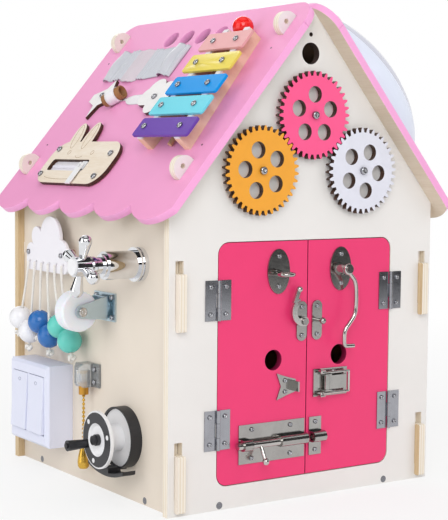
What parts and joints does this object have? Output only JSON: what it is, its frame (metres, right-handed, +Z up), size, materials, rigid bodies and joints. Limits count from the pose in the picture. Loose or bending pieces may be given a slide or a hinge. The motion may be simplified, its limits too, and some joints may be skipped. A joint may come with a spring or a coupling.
{
  "type": "busy house",
  "caption": "Plywood play house with hinged doors, door latches, meshing gears, tap, castor, switch, reel, bead strings, xylophone roof and a dome lamp for busy hands.",
  "frame": {"origin": "centre of the base on the floor", "axes": "+Z up to the ridge, -Y out of the doors, -X out of the wall with the tap and the castor"},
  "size_m": [0.4137, 0.3624, 0.4932],
  "materials": {
    "white_ply": "painted plywood, satin",
    "cream_ply": "painted plywood, satin",
    "raw_ply": "bare birch plywood",
    "roof_pink": "painted plywood, satin",
    "door_pink": "painted plywood, satin",
    "steel": "polished stainless sheet",
    "screw_steel": "zinc plated steel",
    "chrome": "bright chrome plate",
    "gear_pink": "gloss acrylic sheet",
    "gear_orange": "gloss acrylic sheet",
    "gear_white": "gloss acrylic sheet",
    "wheel_white": "white castor wheel",
    "switch_white": "smooth moulded plastic",
    "clear": "clear moulded plastic",
    "brass": "polished brass",
    "black": "black moulded plastic",
    "spool_white": "white moulded plastic",
    "knob_black": "black moulded plastic",
    "cloud_white": "white painted board",
    "bead_teal": "lacquered wooden bead on cord",
    "bead_blue": "lacquered wooden bead on cord",
    "bead_white": "lacquered wooden bead on cord",
    "rail_wood": "planed beech with white felt",
    "bars": "lacquered metal bars, a colour for each",
    "mallet_red": "red ball on a wooden stick",
    "zip_white": "white zip tape",
    "zip_metal": "white lacquered zip metal",
    "kraft": "kraft board tube with white ribbon",
    "satin": "satin rolls and sheer voile",
    "lamp_base": "white moulded plastic",
    "lamp_dome": "opal diffuser"
  },
  "bodies": {
    "house": {"front_panel": "white_ply", "back_panel": "white_ply", "left_wall": "cream_ply", "right_wall": "cream_ply", "floor_panel": "raw_ply", "cloud_spacers": "raw_ply", "animal_plate": "raw_ply", "roof_left": "roof_pink", "roof_right": "roof_pink", "hinge_leaves_frame": "steel", "castor_plate": "steel", "floor_screws": "screw_steel", "frame_screws": "screw_steel", "roof_screws": "screw_steel", "gear_screws": "screw_steel", "tap_body": "chrome", "switch_box": "switch_white", "switch_frame": "switch_white", "pull_body": "clear", "pull_nozzle": "brass", "reel_frame": "black", "cloud_plate": "cloud_white", "roof_plates": "cloud_white", "xylophone_rails": "rail_wood", "xylophone_bars": "bars", "zip_tape": "zip_white", "ribbon_roll": "kraft", "fabric_strip": "satin", "lamp_base": "lamp_base", "lamp_dome": "lamp_dome"},
    "left_door": {"door_left": "door_pink", "hinge_leaves_left": "steel", "door_left_screws": "screw_steel", "latch_plates_left": "steel"},
    "right_door": {"door_right": "door_pink", "hinge_leaves_right": "steel", "door_right_screws": "screw_steel", "latch_plates_right": "steel"},
    "bead_teal": {"bead_pair_teal": "bead_teal"},
    "bead_blue": {"bead_pair_blue": "bead_blue"},
    "bead_white": {"bead_pair_white": "bead_white"},
    "hook": {"hook": "steel"},
    "swing_arm": {"swing_arm": "steel"},
    "toggle_lever": {"toggle_lever": "steel"},
    "toggle_bail": {"toggle_bail": "steel"},
    "bolt": {"bolt": "steel"},
    "gear_pink": {"gear_pink": "gear_pink"},
    "gear_orange": {"gear_orange": "gear_orange"},
    "gear_white": {"gear_white": "gear_white"},
    "tap_handle": {"tap_handle": "chrome"},
    "castor_fork": {"castor_fork": "steel"},
    "castor_wheel": {"castor_wheel": "wheel_white"},
    "switch_rocker_a": {"switch_rocker_a": "switch_white"},
    "switch_rocker_b": {"switch_rocker_b": "switch_white"},
    "pull_chain": {"pull_chain": "brass"},
    "reel_spool": {"reel_spool": "spool_white"},
    "reel_knob": {"reel_knob": "knob_black"},
    "mallet": {"mallet": "mallet_red"},
    "zip_slider": {"zip_slider": "zip_metal"},
    "zip_pull": {"zip_pull": "zip_metal"}
  },
  "joints": [
    {"name": "left_door_hinge", "type": "hinge", "parent": "house", "child": "left_door", "pos_m": [-0.10565, -0.1623, 0.138], "axis": [0, 0, -1], "range_deg": [0, 110]},
    {"name": "right_door_hinge", "type": "hinge", "parent": "house", "child": "right_door", "pos_m": [0.10565, -0.1623, 0.138], "axis": [0, 0, 1], "range_deg": [0, 110]},
    {"name": "hook_swing", "type": "hinge", "parent": "right_door", "child": "hook", "pos_m": [0.0404, -0.173, 0.2247], "axis": [0, -1, 0], "range_deg": [0, 270]},
    {"name": "swing_arm_turn", "type": "hinge", "parent": "left_door", "child": "swing_arm", "pos_m": [-0.0075, -0.1653, 0.175], "axis": [0, 1, 0], "range_deg": [0, 110]},
    {"name": "toggle_lever_turn", "type": "hinge", "parent": "right_door", "child": "toggle_lever", "pos_m": [0.022, -0.165, 0.1125], "axis": [0, 0, -1], "range_deg": [0, 150]},
    {"name": "toggle_bail_turn", "type": "hinge", "parent": "right_door", "child": "toggle_bail", "pos_m": [0.014, -0.1665, 0.1125], "axis": [0, 0, -1], "range_deg": [0, 180]},
    {"name": "bolt_slide", "type": "slide", "parent": "left_door", "child": "bolt", "axis": [1, 0, 0], "range_m": [0, 0.0195]},
    {"name": "gear_pink_spin", "type": "hinge", "parent": "house", "child": "gear_pink", "pos_m": [0, -0.165, 0.3749], "axis": [0, 1, 0], "continuous": true},
    {"name": "gear_orange_spin", "type": "hinge", "parent": "house", "child": "gear_orange", "pos_m": [-0.0613, -0.165, 0.3215], "axis": [0, 1, 0], "continuous": true},
    {"name": "gear_white_spin", "type": "hinge", "parent": "house", "child": "gear_white", "pos_m": [0.0613, -0.165, 0.3215], "axis": [0, 1, 0], "continuous": true},
    {"name": "tap_turn", "type": "hinge", "parent": "house", "child": "tap_handle", "pos_m": [-0.2165, -0.097, 0.2315], "axis": [1, 0, 0], "range_deg": [0, 180]},
    {"name": "castor_swivel", "type": "hinge", "parent": "house", "child": "castor_fork", "pos_m": [-0.1595, -0.031, 0.185], "axis": [1, 0, 0], "continuous": true},
    {"name": "castor_spin", "type": "hinge", "parent": "castor_fork", "child": "castor_wheel", "pos_m": [-0.186, -0.031, 0.182], "axis": [0, 1, 0], "continuous": true},
    {"name": "rocker_a_tilt", "type": "hinge", "parent": "house", "child": "switch_rocker_a", "pos_m": [-0.1745, 0.0634, 0.074], "axis": [0, -1, 0], "range_deg": [0, 6]},
    {"name": "rocker_b_tilt", "type": "hinge", "parent": "house", "child": "switch_rocker_b", "pos_m": [-0.1745, 0.1006, 0.074], "axis": [0, -1, 0], "range_deg": [0, 6]},
    {"name": "pull_chain_slide", "type": "slide", "parent": "house", "child": "pull_chain", "axis": [0, 0, -1], "range_m": [0, 0.008], "stiffness_N_per_m": 300, "springref_m": -0.008},
    {"name": "reel_spin", "type": "hinge", "parent": "house", "child": "reel_spool", "pos_m": [-0.1725, -0.072, 0.061], "axis": [1, 0, 0], "continuous": true},
    {"name": "reel_knob_spin", "type": "hinge", "parent": "reel_spool", "child": "reel_knob", "pos_m": [-0.197, -0.052, 0.054], "axis": [1, 0, 0], "continuous": true},
    {"name": "bead_teal_swing", "type": "hinge", "parent": "house", "child": "bead_teal", "pos_m": [-0.1685, 0.0282, 0.221], "axis": [0, 1, 0], "range_deg": [0, 60]},
    {"name": "bead_blue_swing", "type": "hinge", "parent": "house", "child": "bead_blue", "pos_m": [-0.1685, 0.073, 0.221], "axis": [0, 1, 0], "range_deg": [0, 60]},
    {"name": "bead_white_swing", "type": "hinge", "parent": "house", "child": "bead_white", "pos_m": [-0.1685, 0.1178, 0.221], "axis": [0, 1, 0], "range_deg": [0, 60]},
    {"name": "mallet_slide", "type": "slide", "parent": "house", "child": "mallet", "axis": [0.6016, 0.041, 0.7978], "range_m": [0, 0.15]},
    {"name": "zip_slide", "type": "slide", "parent": "house", "child": "zip_slider", "axis": [0, 1, 0], "range_m": [0, 0.066]},
    {"name": "zip_pull_turn", "type": "hinge", "parent": "zip_slider", "child": "zip_pull", "pos_m": [-0.14886, 0.028, 0.32554], "axis": [0, 1, 0], "range_deg": [0, 160]}
  ],
  "couplings": [
    {"joint": "gear_orange_spin", "follows": "gear_pink_spin", "ratio": -1},
    {"joint": "gear_white_spin", "follows": "gear_pink_spin", "ratio": -1}
  ]
}
